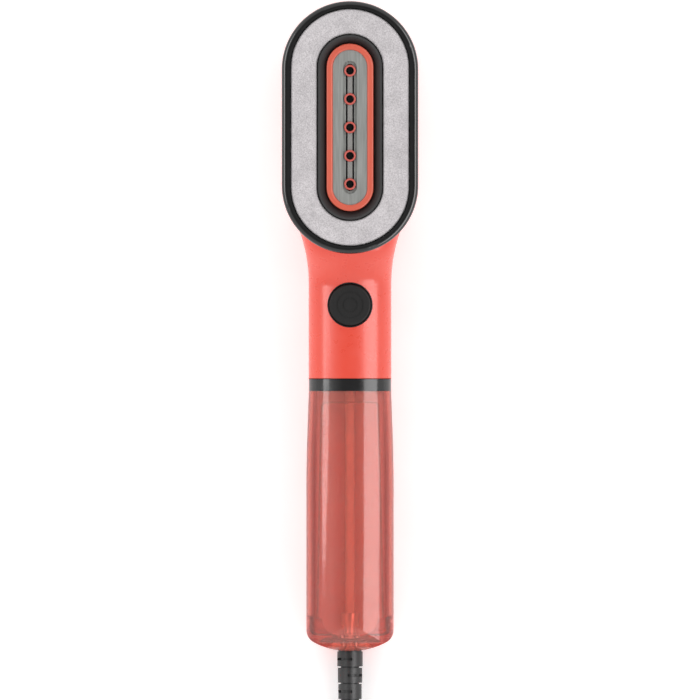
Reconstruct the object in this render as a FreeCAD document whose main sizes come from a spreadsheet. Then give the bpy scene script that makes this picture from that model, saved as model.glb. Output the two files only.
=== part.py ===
"""Handheld garment steamer lying on its flat back, as separate pieces.

X is across the grip, Y runs along the object towards the head, Z is up, out of the steam
plate. The origin lies at the middle of the footprint, on the surface that it rests on.
All lengths are in millimetres.
"""
import FreeCAD, Part
import math
import os
import Sketcher
from FreeCAD import Placement, Rotation, Vector

DIMENSIONS = (
    ("overall_length", 272.4),
    ("grip_width", 34.7),
    ("grip_height", 41.0),
    ("grip_back_corner", 9.0),
    ("grip_front_corner", 11.0),
    ("grip_crown_radius", 30.0),
    ("shell_wall", 2.0),
    ("parting_height", 20.0),
    ("parting_gap", 0.3),
    ("neck_flare_radius", 66.0),
    ("neck_start", 18.0),
    ("neck_end", 48.5),
    ("neck_rise_length", 17.3),
    ("neck_rise_start", 17.2),
    ("neck_top", 53.0),
    ("head_width", 57.1),
    ("head_length", 105.6),
    ("head_centre", 83.2),
    ("head_base", 54.0),
    ("pod_inset", 0.35),
    ("bezel_height", 12.0),
    ("bezel_opening_width", 50.2),
    ("bezel_opening_length", 99.9),
    ("pad_width", 49.6),
    ("pad_length", 99.2),
    ("pad_hole_width", 27.4),
    ("pad_hole_length", 77.8),
    ("pad_base", 62.0),
    ("pad_thickness", 4.6),
    ("collar_width", 26.8),
    ("collar_length", 77.2),
    ("collar_opening_width", 20.2),
    ("collar_opening_length", 70.6),
    ("trim_width", 19.6),
    ("trim_length", 70.0),
    ("trim_opening_width", 14.4),
    ("trim_opening_length", 64.8),
    ("trim_top", 65.6),
    ("plate_top", 64.8),
    ("plate_bottom", 61.2),
    ("slot_width", 5.8),
    ("slot_length", 55.6),
    ("slot_floor", 63.4),
    ("channel_width", 3.4),
    ("rail_width", 2.0),
    ("nozzle_diameter", 4.9),
    ("nozzle_bore", 3.1),
    ("nozzle_pitch", 11.85),
    ("boiler_width", 28.0),
    ("boiler_length", 83.0),
    ("boiler_wall", 3.0),
    ("boiler_screw_reach", 12.4),
    ("boiler_screw_pitch", 24.0),
    ("boiler_base", 34.0),
    ("boiler_top", 53.2),
    ("button_centre", 9.1),
    ("button_diameter", 17.4),
    ("button_travel", 2.0),
    ("band_top", -21.7),
    ("band_bottom", -27.0),
    ("tank_width", 36.8),
    ("tank_full_width_at", -62.7),
    ("tank_wall", 1.8),
    ("tank_floor", 10.3),
    ("tank_end_bow", 32.0),
    ("tank_end_corner", 6.0),
    ("spine_width", 29.0),
    ("spine_neck_width", 24.4),
    ("spine_height", 17.0),
    ("spine_end", -131.0),
    ("spigot_place", -24.5),
    ("dip_weight_diameter", 7.0),
    ("dip_weight_length", 5.6),
    ("cord_diameter", 6.8),
    ("cord_height", 8.0),
    ("boot_diameter", 10.75),
    ("boot_end", -170.0),
)

document = FreeCAD.newDocument("garment_steamer")
sheet = document.addObject("Spreadsheet::Sheet", "Dims")
for row, (alias, number) in enumerate(DIMENSIONS, start=1):
    sheet.set(f"A{row}", alias)
    sheet.set(f"B{row}", str(number))
    sheet.setAlias(f"B{row}", alias)
document.recompute()

PIECES = []


def dim(name):
    """The number that the sheet holds for this alias."""
    return float(getattr(sheet, name))


def value(expression):
    """Works out an expression of the sheet's aliases, written as Dims.alias."""
    return float(sheet.evalExpression(expression))


# ---------------------------------------------------------------- ways of making a piece


def body(label):
    """A PartDesign body whose Label names the piece."""
    made = document.addObject("PartDesign::Body", "body_" + label)
    made.Label = label
    PIECES.append(made)
    return made


def piece(label, shape):
    """A piece whose surfaces are set in code, from the sheet's numbers."""
    made = document.addObject("Part::Feature", "piece_" + label)
    made.Label = label
    made.Shape = shape
    PIECES.append(made)
    return made


def sketch(owner, height="0", role="XY_Plane"):
    """A sketch on one of the body's origin planes, lifted off it by an expression."""
    plane = [part for part in owner.Origin.OriginFeatures if part.Role == role][0]
    made = owner.newObject("Sketcher::SketchObject", "sketch")
    made.AttachmentSupport = (plane, [""])
    made.MapMode = "FlatFace"
    made.setExpression("AttachmentOffset.Base.z", height)
    return made


def bind(made, constraint, expression):
    """Adds a dimension to a sketch and binds it to the sheet."""
    index = made.addConstraint(constraint)
    made.setExpression(f"Constraints[{index}]", expression)


def stadium(made, width, length, centre="Dims.head_centre"):
    """Two half circles joined by straight sides, its long way along Y."""
    width = f"({width})"
    length = f"({length})"
    radius = value(width) / 2
    half = (value(length) - value(width)) / 2
    middle = value(centre)
    axis = Vector(0, 0, 1)
    top = made.addGeometry(Part.ArcOfCircle(
        Part.Circle(Vector(0, middle + half, 0), axis, radius), 0, math.pi))
    bottom = made.addGeometry(Part.ArcOfCircle(
        Part.Circle(Vector(0, middle - half, 0), axis, radius), math.pi, 2 * math.pi))
    left = made.addGeometry(Part.LineSegment(
        Vector(-radius, middle + half, 0), Vector(-radius, middle - half, 0)))
    right = made.addGeometry(Part.LineSegment(
        Vector(radius, middle - half, 0), Vector(radius, middle + half, 0)))
    made.addConstraint([
        Sketcher.Constraint("Tangent", top, 2, left, 1),
        Sketcher.Constraint("Tangent", left, 2, bottom, 1),
        Sketcher.Constraint("Tangent", bottom, 2, right, 1),
        Sketcher.Constraint("Tangent", right, 2, top, 1),
        Sketcher.Constraint("Vertical", left),
        Sketcher.Constraint("PointOnObject", top, 3, -2),
        Sketcher.Constraint("Equal", top, bottom),
    ])
    bind(made, Sketcher.Constraint("Radius", top, radius), f"{width} / 2")
    upper = f"{centre} + ({length} - {width}) / 2"
    lower = f"{centre} - ({length} - {width}) / 2"
    bind(made, Sketcher.Constraint("DistanceY", -1, 1, top, 3, middle + half), upper)
    bind(made, Sketcher.Constraint("DistanceY", -1, 1, bottom, 3, middle - half), lower)


def circle(made, diameter, across="0", along="0"):
    """A circle of a bound diameter, its centre bound from the sketch's origin."""
    place = Vector(value(across), value(along), 0)
    index = made.addGeometry(Part.Circle(place, Vector(0, 0, 1), value(diameter) / 2))
    bind(made, Sketcher.Constraint("Diameter", index, value(diameter)), diameter)
    for kind, distance in (("DistanceX", across), ("DistanceY", along)):
        if abs(value(distance)) < 1e-9:
            axis = -2 if kind == "DistanceX" else -1
            made.addConstraint(Sketcher.Constraint("PointOnObject", index, 3, axis))
        else:
            near = Sketcher.Constraint(kind, -1, 1, index, 3, value(distance))
            bind(made, near, distance)


def rectangle(made, width, length, across="0", along="0"):
    """A rectangle of bound sides about a bound centre."""
    half_x, half_y = value(width) / 2, value(length) / 2
    x, y = value(across), value(along)
    corners = [Vector(x - half_x, y - half_y, 0), Vector(x + half_x, y - half_y, 0),
               Vector(x + half_x, y + half_y, 0), Vector(x - half_x, y + half_y, 0)]
    sides = [made.addGeometry(Part.LineSegment(corners[i], corners[(i + 1) % 4]))
             for i in range(4)]
    for i in range(4):
        made.addConstraint(Sketcher.Constraint(
            "Coincident", sides[i], 2, sides[(i + 1) % 4], 1))
    for i in (0, 2):
        made.addConstraint(Sketcher.Constraint("Horizontal", sides[i]))
        made.addConstraint(Sketcher.Constraint("Vertical", sides[i + 1]))
    bind(made, Sketcher.Constraint("DistanceX", sides[0], 1, sides[0], 2, 2 * half_x), width)
    bind(made, Sketcher.Constraint("DistanceY", sides[1], 1, sides[1], 2, 2 * half_y), length)
    bind(made, Sketcher.Constraint("DistanceX", -1, 1, sides[0], 1, x - half_x),
         f"{across} - ({width}) / 2")
    bind(made, Sketcher.Constraint("DistanceY", -1, 1, sides[0], 1, y - half_y),
         f"{along} - ({length}) / 2")


def pad(owner, outline, length):
    """Raises a sketch by a bound length."""
    made = owner.newObject("PartDesign::Pad", "pad")
    made.Profile = outline
    made.setExpression("Length", length)
    document.recompute()
    return made


def pocket(owner, outline, depth):
    """Cuts a sketch downwards by a bound depth, and makes sure that it removes material."""
    before = owner.Shape.Volume
    made = owner.newObject("PartDesign::Pocket", "pocket")
    made.Profile = outline
    made.setExpression("Length", depth)
    document.recompute()
    if owner.Shape.Volume >= before - 1e-6:
        made.Reversed = True
        document.recompute()
    if owner.Shape.Volume >= before - 1e-6:
        raise RuntimeError(owner.Label + ": a pocket cuts nothing")
    return made


def fillet(owner, radius, chosen, kind="Fillet"):
    """Rounds or bevels the edges of the body's last shape that the test chooses."""
    base = owner.Tip
    names = [f"Edge{i}" for i, edge in enumerate(base.Shape.Edges, 1) if chosen(edge)]
    made = owner.newObject("PartDesign::" + kind, kind.lower())
    made.Base = (base, names)
    if kind == "Fillet":
        made.Radius = radius
    else:
        made.Size = radius
    document.recompute()
    return made


def at_height(height):
    """Chooses edges that lie flat at this height."""
    return lambda edge: (abs(edge.BoundBox.ZMin - height) < 1e-3
                         and abs(edge.BoundBox.ZMax - height) < 1e-3)


def stadium_ring(label, base, height, outer, inner=None):
    """A body of stadium outline, with a stadium hole where inner is given."""
    made = body(label)
    outline = sketch(made, base)
    stadium(outline, *outer)
    if inner:
        stadium(outline, *inner)
    pad(made, outline, height)
    return made


def box_body(label, base, height, width, length, across="0", along="0"):
    """A rectangular block as a body."""
    made = body(label)
    outline = sketch(made, base)
    rectangle(outline, width, length, across, along)
    pad(made, outline, height)
    return made


def round_body(label, base, height, diameter, across="0", along="0", bore=None):
    """An upright cylinder as a body, with a bore where one is given."""
    made = body(label)
    outline = sketch(made, base)
    circle(outline, diameter, across, along)
    if bore:
        circle(outline, bore, across, along)
    pad(made, outline, height)
    return made


def bent_path(points, tightest=None):
    """Straight runs joined by tangent arcs, each as large as its two runs allow."""
    places = [Vector(*point) for point in points]
    edges = []
    radii = []
    start = places[0]
    for before, corner, after in zip(places, places[1:], places[2:]):
        towards = (before - corner).normalize()
        onwards = (after - corner).normalize()
        turn = math.pi - towards.getAngle(onwards)
        run = min((before - corner).Length, (after - corner).Length)
        reach = 0.45 * run
        radius = reach / math.tan(turn / 2)
        if tightest and radius > tightest:
            radius = tightest
            reach = radius * math.tan(turn / 2)
        middle = (towards + onwards).normalize()
        bow = radius / math.cos(turn / 2) - radius
        first = corner + towards * reach
        last = corner + onwards * reach
        edges.append(Part.LineSegment(start, first).toShape())
        edges.append(Part.Arc(first, corner + middle * bow, last).toShape())
        radii.append(radius)
        start = last
    edges.append(Part.LineSegment(start, places[-1]).toShape())
    return Part.Wire(edges), radii


def tube(points, diameter, bore=0.0, tightest=None):
    """A round tube along a bent path, its volume compared with section times length."""
    path, radii = bent_path(points, tightest)
    heading = Vector(*points[1]) - Vector(*points[0])

    def swept(size):
        ring = Part.Wire(Part.Circle(Vector(*points[0]), heading, size / 2).toShape())
        return path.makePipeShell([ring], True, True)

    solid = swept(diameter)
    expected = math.pi * diameter ** 2 / 4 * path.Length
    if abs(solid.Volume - expected) > 0.02 * expected:
        raise RuntimeError("a tube's volume is not its section times its length")
    if bore:
        solid = solid.cut(swept(bore))
    return solid, path.Length, radii


def helix_spring(radius, wire, base, height, turns, along):
    """A compression spring as a rising band of flat facets, so its mesh is exact."""
    per_turn = 12
    sides = 6
    rings = []
    for step in range(turns * per_turn + 1):
        turned = 2 * math.pi * step / per_turn
        middle = base + wire / 2 + (height - wire) * step / (turns * per_turn)
        ring = []
        for corner in range(sides):
            angle = 2 * math.pi * corner / sides
            reach = radius + wire / 2 * math.cos(angle)
            ring.append(Vector(reach * math.cos(turned), along + reach * math.sin(turned),
                               middle + wire / 2 * math.sin(angle)))
        rings.append(ring)
    faces = [Part.Face(Part.makePolygon(ring + ring[:1])) for ring in (rings[0], rings[-1])]
    for low, high in zip(rings, rings[1:]):
        for corner in range(sides):
            near = (corner + 1) % sides
            for three in ((low[corner], low[near], high[near]),
                          (low[corner], high[near], high[corner])):
                faces.append(Part.Face(Part.makePolygon([*three, three[0]])))
    return Part.Solid(Part.Shell(faces))


# ---------------------------------------------------------------- casing surfaces


def grip_section(along, half_width, top, back_corner, front_corner, crown, inset=0.0):
    """The grip's cross-section: flat back, upright sides, rounded front crown."""
    side = half_width - inset
    low = inset
    high = top - inset
    back = back_corner - inset
    front = front_corner - inset
    arch = crown - inset
    arch_centre = high - arch
    shoulder = arch_centre + math.sqrt((arch - front) ** 2 - (side - front) ** 2)
    lean = math.atan2(shoulder - arch_centre, side - front)
    edge_x = arch * math.cos(lean)
    edge_z = arch_centre + arch * math.sin(lean)
    half_lean = lean / 2
    corner_x = side - back + back * math.sin(math.pi / 4)
    corner_z = low + back - back * math.sin(math.pi / 4)
    mid_x = side - front + front * math.cos(half_lean)
    mid_z = shoulder + front * math.sin(half_lean)

    def at(x, z):
        return Vector(x, along, z)

    edges = [
        Part.LineSegment(at(back - side, low), at(side - back, low)),
        Part.Arc(at(side - back, low), at(corner_x, corner_z), at(side, low + back)),
        Part.LineSegment(at(side, low + back), at(side, shoulder)),
        Part.Arc(at(side, shoulder), at(mid_x, mid_z), at(edge_x, edge_z)),
        Part.Arc(at(edge_x, edge_z), at(0, high), at(-edge_x, edge_z)),
        Part.Arc(at(-edge_x, edge_z), at(-mid_x, mid_z), at(-side, shoulder)),
        Part.LineSegment(at(-side, shoulder), at(-side, low + back)),
        Part.Arc(at(-side, low + back), at(-corner_x, corner_z), at(back - side, low)),
    ]
    return Part.Wire([edge.toShape() for edge in edges])


def neck_section(along, inset):
    """The section of the grip and neck at one place along the object."""
    half_width = dim("grip_width") / 2
    top = dim("grip_height")
    flare = dim("neck_flare_radius")
    past = max(0.0, along - dim("neck_start"))
    half_width += flare - math.sqrt(flare ** 2 - past ** 2)
    share = (along - dim("neck_rise_start")) / dim("neck_rise_length")
    share = min(max(0.0, share), 1.0)
    top += (dim("neck_top") - top) * share ** 2 * (3 - 2 * share)
    widening = half_width / (dim("grip_width") / 2)
    back = dim("grip_back_corner") * (1 + 0.8 * (widening - 1))
    crown = dim("grip_crown_radius") * widening ** 1.2
    return grip_section(along, half_width, top, back, dim("grip_front_corner"), crown, inset)


def handle_core(inset):
    """Grip and neck from the bottom band to the head."""
    start = dim("band_top") + inset
    bend = dim("neck_rise_start") - 1.0
    steps = 13
    stops = [bend + (dim("neck_end") - bend) * step / steps for step in range(steps + 1)]
    sections = [neck_section(stop, inset) for stop in stops]
    grip = Part.makeLoft([neck_section(start, inset), sections[0]], True, True)
    neck = Part.makeLoft(sections, True, False)
    return grip.fuse(neck)


def pod(inset):
    """The head's casing under the bezel, with its back edge rounded."""
    radius = dim("head_width") / 2 - dim("pod_inset") - inset
    half = (dim("head_length") - dim("head_width")) / 2
    centre = dim("head_centre")
    axis = Vector(0, 0, 1)
    arcs = (
        Part.Arc(Vector(radius, centre + half, inset), Vector(0, centre + half + radius, inset),
                 Vector(-radius, centre + half, inset)),
        Part.LineSegment(Vector(-radius, centre + half, inset),
                         Vector(-radius, centre - half, inset)),
        Part.Arc(Vector(-radius, centre - half, inset), Vector(0, centre - half - radius, inset),
                 Vector(radius, centre - half, inset)),
        Part.LineSegment(Vector(radius, centre - half, inset),
                         Vector(radius, centre + half, inset)),
    )
    outline = Part.Face(Part.Wire([arc.toShape() for arc in arcs]))
    block = outline.extrude(axis * (dim("head_base") - inset))
    rim = [edge for edge in block.Edges if at_height(inset)(edge)]
    return block.makeFillet(dim("grip_back_corner") - inset, rim)


def slab(low, high, y_low=-200.0, y_high=200.0, half=60.0):
    """A plain block used to cut the casing at levels."""
    corner = Vector(-half, y_low, low)
    return Part.makeBox(2 * half, y_high - y_low, high - low, corner)


def lower_core(inset):
    """The lower handle: tray and tank share this outline, rounded at its end."""
    narrow = dim("grip_width") / 2
    wide = dim("tank_width") / 2
    top = dim("grip_height")
    stations = (
        (dim("band_bottom"), narrow),
        ((dim("band_bottom") + dim("tank_full_width_at")) / 2, narrow + 0.62 * (wide - narrow)),
        (dim("tank_full_width_at"), wide),
        (dim("tank_full_width_at") - 12.0, wide),
    )
    common = (top, dim("grip_back_corner"), dim("grip_front_corner"))
    wires = [grip_section(along, half, *common, dim("grip_crown_radius"), inset)
             for along, half in stations]
    upper = Part.makeLoft(wires, True, False)
    end = -dim("overall_length") / 2 - 5.0
    straight = Part.makeLoft(
        [wires[-1], grip_section(end, wide, *common, dim("grip_crown_radius"), inset)],
        True, True)
    return upper.fuse(straight)


def end_outline(inset, low, high):
    """The plan of the lower end: a shallow bow between two round corners."""
    half = dim("tank_width") / 2 + 1.0
    bow = dim("tank_end_bow")
    corner = dim("tank_end_corner")
    end = -dim("overall_length") / 2 + inset
    side = dim("tank_width") / 2 - inset
    centre_y = end + bow
    corner_x = side - corner
    corner_y = centre_y - math.sqrt((bow - corner) ** 2 - corner_x ** 2)
    lean = math.atan2(centre_y - corner_y, corner_x)
    join = Vector(bow * math.cos(lean), centre_y - bow * math.sin(lean), low)
    turn = lean / 2
    mid = Vector(corner_x + corner * math.cos(turn), corner_y - corner * math.sin(turn), low)
    top_y = 0.0
    edges = (
        Part.LineSegment(Vector(-half, top_y, low), Vector(-half, corner_y + 3.0, low)),
        Part.LineSegment(Vector(-half, corner_y + 3.0, low), Vector(-side, corner_y, low)),
        Part.Arc(Vector(-side, corner_y, low), Vector(-mid.x, mid.y, low),
                 Vector(-join.x, join.y, low)),
        Part.Arc(Vector(-join.x, join.y, low), Vector(0, end, low), join),
        Part.Arc(join, mid, Vector(side, corner_y, low)),
        Part.LineSegment(Vector(side, corner_y, low), Vector(half, corner_y + 3.0, low)),
        Part.LineSegment(Vector(half, corner_y + 3.0, low), Vector(half, top_y, low)),
        Part.LineSegment(Vector(half, top_y, low), Vector(-half, top_y, low)),
    )
    face = Part.Face(Part.Wire([edge.toShape() for edge in edges]))
    return face.extrude(Vector(0, 0, high - low))


def lower_body(inset, end_inset=None):
    """The lower handle cut to its rounded end."""
    return lower_core(inset).common(end_outline(end_inset or inset, -1.0, 60.0))


def spine_prism(inset, low, high):
    """The raised spine's plan: narrow at the top, its straight sides opening downwards."""
    neck = dim("spine_neck_width") / 2 - inset
    wide = dim("spine_width") / 2 - inset
    top = -31.6 - inset
    knee = -81.0
    end = dim("spine_end") + inset
    plan = [(-neck, top), (-wide, knee), (-wide, end + 1.5), (0.0, end),
            (wide, end + 1.5), (wide, knee), (neck, top)]
    points = [Vector(x, y, low) for x, y in plan]
    edges = [Part.LineSegment(points[0], points[1]), Part.LineSegment(points[1], points[2]),
             Part.Arc(points[2], points[3], points[4]), Part.LineSegment(points[4], points[5]),
             Part.LineSegment(points[5], points[6]), Part.LineSegment(points[6], points[0])]
    face = Part.Face(Part.Wire([edge.toShape() for edge in edges]))
    return face.extrude(Vector(0, 0, high - low))


def spine_crown(inset):
    """A long barrel that rounds the spine's front face."""
    arch = 46.0 - inset
    centre = dim("spine_height") - 46.0
    return Part.makeCylinder(arch, 130.0, Vector(0, -145.0, centre), Vector(0, 1, 0))


def cord_bore(diameter, start, length):
    """A round passage on the cord's axis."""
    return Part.makeCylinder(diameter / 2, length, Vector(0, start, dim("cord_height")),
                             Vector(0, 1, 0))


SCREW_PLACES = ((-11.6, -4.0), (11.6, -4.0), (-11.6, 26.0), (11.6, 26.0), (0.0, 130.2))
CLAMP_REACH = 6.4
CLAMP_PLACE = -122.0


def boss_columns(radius, low, high):
    """Round columns at the housing screws."""
    return Part.makeCompound([Part.makeCylinder(radius, high - low, Vector(x, y, low))
                              for x, y in SCREW_PLACES])


def casing():
    """The rear and front shells of head, neck and grip, and the tray under the tank."""
    wall = dim("shell_wall")
    outer = handle_core(0.0).fuse(pod(0.0))
    inner = handle_core(wall).fuse(pod(wall))
    mouth = pod(wall + 0.2).cut(slab(-1.0, 40.0)).translated(Vector(0, 0, 2.0))
    upper = outer.cut(inner).cut(mouth)
    parting = dim("parting_height")
    gap = dim("parting_gap")
    tray_top = dim("tank_floor") - 2.3
    tray_outer = lower_body(0.0).common(slab(-1.0, tray_top))
    tray_inner = lower_body(wall, 5.0).common(slab(wall, 60.0))
    link_outer = handle_slice(0.0).common(slab(-1.0, tray_top))
    link_inner = handle_slice(wall).common(slab(wall, 60.0))
    tray = tray_outer.fuse(link_outer).cut(tray_inner.fuse(link_inner))
    rear = upper.common(slab(-1.0, parting))
    passage = slab(wall, tray_top, dim("band_top") - 1.0, dim("band_top") + 4.0,
                   dim("grip_width") / 2 - dim("grip_back_corner"))
    rear = rear.cut(passage).fuse(tray)
    rear = rear.cut(cord_bore(dim("boot_diameter") - 1.0, -140.0, 20.0))
    clamp_posts = Part.makeCompound([
        Part.makeCylinder(2.6, 8.5, Vector(side * CLAMP_REACH, CLAMP_PLACE, 1.0)).cut(
            Part.makeCylinder(1.2, 9.0, Vector(side * CLAMP_REACH, CLAMP_PLACE, 3.0)))
        for side in (-1, 1)])
    rear_bosses = boss_columns(3.6, 1.0, parting).common(outer)
    rear = rear.fuse(rear_bosses).fuse(clamp_posts)
    rear = rear.cut(boss_columns(2.9, -1.0, 2.6)).cut(boss_columns(1.4, -1.0, 40.0))
    front = upper.common(slab(parting + gap, 60.0))
    front_bosses = boss_columns(3.6, parting + gap, 60.0).common(outer).cut(slab(44.0, 60.0))
    front = front.fuse(front_bosses).cut(boss_columns(1.3, parting, 27.0))
    button_hole = Part.makeCylinder(9.5, 20.0, Vector(0, dim("button_centre"), 30.0))
    front = front.cut(button_hole)
    # A join of nearly touching faces can drop a whole lump, so the head's back is looked for.
    if not rear.isInside(Vector(0, dim("head_centre"), wall / 2), 0.01, True):
        raise RuntimeError("the rear shell has lost the head")
    if not front.isInside(Vector(dim("head_width") / 2 - dim("pod_inset") - wall / 2,
                                 dim("head_centre"), 40.0), 0.01, True):
        raise RuntimeError("the front shell has lost the head")
    piece("rear_shell", rear.removeSplitter())
    piece("front_shell", front.removeSplitter())


def handle_slice(inset):
    """The short stretch between the grip's end and the tank, behind the band."""
    start = dim("band_bottom")
    end = dim("band_top") + (dim("shell_wall") if inset else 0.0)
    return Part.makeLoft([neck_section(start, inset), neck_section(end, inset)], True, True)


def spine_cover():
    """The glossy cover of the tray: a flat deck with the raised spine on it."""
    wall = dim("shell_wall")
    deck_low = dim("tank_floor") - 2.3
    deck_high = dim("tank_floor") - 0.3
    deck = lower_body(0.0).fuse(handle_slice(0.0)).common(slab(deck_low, deck_high))
    raised = spine_prism(0.0, deck_low, 40.0).common(spine_crown(0.0))
    hollow = spine_prism(wall, deck_low - 1.0, 40.0).common(spine_crown(wall))
    cover = deck.fuse(raised).cut(hollow)
    cover = cover.cut(cord_bore(dim("boot_diameter") - 1.0, -140.0, 20.0))
    spigot_hole = Part.makeCylinder(1.8, 6.0, Vector(0, dim("spigot_place"), deck_low - 1.0))
    piece("spine_cover", cover.cut(spigot_hole).removeSplitter())


# ---------------------------------------------------------------- water tank


def tank():
    """The clear tank that straddles the spine, its floor, and its black top cap."""
    wall = dim("tank_wall")
    floor = dim("tank_floor")
    outer = lower_body(0.0).common(slab(floor, 60.0))
    nose = Part.makeBox(80.0, 20.0, 60.0, Vector(-40.0, -146.0, 10.0))
    round_end = Part.makeCylinder(12.0, 80.0, Vector(-40.0, -124.0, 29.0), Vector(1, 0, 0))
    keep = nose.cut(slab(29.0, 80.0, -146.0, -124.0)).fuse(round_end)
    keep = keep.fuse(Part.makeBox(80.0, 110.0, 60.0, Vector(-40.0, -124.0, 10.0)))
    outer = outer.common(keep)
    chamber = lower_body(wall, 6.8).common(slab(floor - 1.0, 60.0))
    chamber = chamber.common(keep)
    shell = outer.cut(chamber)
    recess = Part.makeBox(17.0, 8.0, 11.0, Vector(-8.5, -140.5, 20.5))
    stopper_hole = Part.makeCylinder(3.2, 14.0, Vector(0, -138.0, 26.0), Vector(0, 1, 0))
    boot_notch = cord_bore(dim("boot_diameter") + 1.2, -140.0, 12.0)
    spine_way = spine_prism(-0.8, 0.0, dim("spine_height") + 0.6)
    shell = shell.cut(recess).cut(stopper_hole).cut(boot_notch).cut(spine_way)
    piece("tank_shell", shell.removeSplitter())
    back = chamber.common(slab(dim("spine_height") + 0.6, dim("spine_height") + 2.2))
    piece("tank_back", back.removeSplitter())


def tank_cap():
    """The black band: a solid cap welded on the tank, with the outlet's socket below."""
    floor = dim("tank_floor")
    start = dim("band_bottom")
    end = dim("band_top") - 0.3
    block = Part.makeLoft([neck_section(start, 0.0), neck_section(end, 0.0)], True, True)
    block = block.common(slab(floor, 60.0))
    lightening = Part.makeLoft([neck_section(start + 1.6, 3.0), neck_section(end, 3.0)],
                               True, True)
    block = block.cut(lightening.common(slab(24.0, 60.0)))
    socket = Part.makeCylinder(2.2, 8.0, Vector(0, dim("spigot_place"), floor - 1.0))
    riser = Part.makeCylinder(1.1, DIP_LEVEL - floor, Vector(0, dim("spigot_place"), floor))
    reach = dim("spigot_place") - start + 1.0
    feed = Part.makeCylinder(1.1, reach, Vector(0, start - 1.0, DIP_LEVEL), Vector(0, 1, 0))
    feed = feed.fuse(riser)
    piece("tank_cap", block.cut(socket).cut(feed).removeSplitter())


def outlet_seal():
    """The ring in the cap's socket that the spigot pushes into."""
    round_body("outlet_seal", "Dims.tank_floor + 0.6", "1.8", "4.2", "0", "Dims.spigot_place", "3.3")


DIP_LEVEL = 21.4
DIP_END = (0.0, -120.2, 22.9)


def dip_parts():
    """The suction tube that runs down the tank, and the weight at its end."""
    route = [(0, dim("band_bottom"), DIP_LEVEL), (0, -60.0, 21.2), (0, -95.0, 21.6), DIP_END]
    solid, _, _ = tube(route, 3.8, 2.2)
    piece("dip_tube", solid)
    weight = document.addObject("Part::Cylinder", "dip_weight")
    weight.setExpression("Radius", "Dims.dip_weight_diameter / 2")
    weight.setExpression("Height", "Dims.dip_weight_length")
    weight.Placement = Placement(Vector(*DIP_END), Rotation(Vector(1, 0, 0), 90))
    PIECES.append(weight)


def filler():
    """The soft stopper in the tank's end, pulled out to fill it."""
    head = Part.makeBox(12.0, 2.4, 7.0, Vector(-6.0, -135.2, 22.5))
    head = head.makeFillet(1.0, [edge for edge in head.Edges
                                 if edge.BoundBox.YLength > 2.3])
    stem = Part.makeCylinder(2.9, 6.6, Vector(0, -133.0, 26.0), Vector(0, 1, 0))
    piece("filler_plug", head.fuse(stem).removeSplitter())


# ---------------------------------------------------------------- head and steam plate


def head_bezel():
    """The black frame round the head: a stepped lip with a fine groove."""
    made = stadium_ring("head_bezel", "Dims.head_base", "Dims.bezel_height",
                        ("Dims.head_width", "Dims.head_length"))
    fillet(made, 1.8, at_height(dim("head_base") + dim("bezel_height")))
    groove = sketch(made, "Dims.head_base + Dims.bezel_height")
    stadium(groove, "Dims.head_width - 3.6", "Dims.head_length - 3.6")
    stadium(groove, "Dims.head_width - 4.6", "Dims.head_length - 4.6")
    pocket(made, groove, "0.9")
    mouth = sketch(made, "Dims.head_base + Dims.bezel_height")
    stadium(mouth, "Dims.bezel_opening_width", "Dims.bezel_opening_length")
    pocket(made, mouth, "Dims.bezel_height - 4")
    base = sketch(made, "Dims.head_base + 4")
    stadium(base, "Dims.head_width - 15", "Dims.head_length - 15")
    pocket(made, base, "4")


def nose_collar():
    """The dark collar round the steam plate, on a flange that the pad's frame rests on."""
    made = stadium_ring("nose_collar", "Dims.head_base + 4", "1.6",
                        ("Dims.bezel_opening_width - 0.6",
                         "Dims.bezel_opening_length - 0.6"),
                        ("Dims.collar_opening_width", "Dims.collar_opening_length"))
    wall = sketch(made, "Dims.head_base + 5.6")
    stadium(wall, "Dims.collar_width", "Dims.collar_length")
    stadium(wall, "Dims.collar_opening_width", "Dims.collar_opening_length")
    pad(made, wall, "Dims.trim_top + 0.4 - Dims.head_base - 5.6")
    top = dim("trim_top") + 0.4
    inner = dim("collar_opening_width") / 2

    def inner_rim(edge):
        reach = max(abs(edge.BoundBox.XMin), abs(edge.BoundBox.XMax))
        return at_height(top)(edge) and reach < inner + 0.1

    fillet(made, 2.4, inner_rim, "Chamfer")


def steam_plate():
    """The metal plate with its long slot, the narrow channel in it and five nozzle seats."""
    made = stadium_ring("steam_plate", "Dims.plate_bottom",
                        "Dims.plate_top - Dims.plate_bottom",
                        ("Dims.trim_opening_width - 0.1", "Dims.trim_opening_length - 0.1"))
    slot = sketch(made, "Dims.plate_top")
    stadium(slot, "Dims.slot_width", "Dims.slot_length")
    pocket(made, slot, "Dims.plate_top - Dims.slot_floor")
    channel = sketch(made, "Dims.slot_floor")
    stadium(channel, "Dims.channel_width",
            "Dims.slot_length - Dims.slot_width + Dims.channel_width")
    pocket(made, channel, "Dims.slot_floor - Dims.plate_bottom")
    seats = sketch(made, "Dims.slot_floor")
    for number in range(-2, 3):
        circle(seats, "Dims.nozzle_diameter + 0.1", "0",
               f"Dims.head_centre + {number} * Dims.nozzle_pitch")
    pocket(made, seats, "Dims.slot_floor - Dims.plate_bottom")


def nozzle_rail():
    """The thin rail in the slot, pierced where the nozzles pass."""
    length = "Dims.slot_length - Dims.slot_width + Dims.rail_width"
    made = stadium_ring("nozzle_rail", "Dims.plate_bottom", "2.6",
                        ("Dims.rail_width", length))
    seats = sketch(made, "Dims.plate_bottom + 2.6")
    for number in range(-2, 3):
        circle(seats, "Dims.nozzle_diameter + 0.1", "0",
               f"Dims.head_centre + {number} * Dims.nozzle_pitch")
    pocket(made, seats, "2.0")


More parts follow.
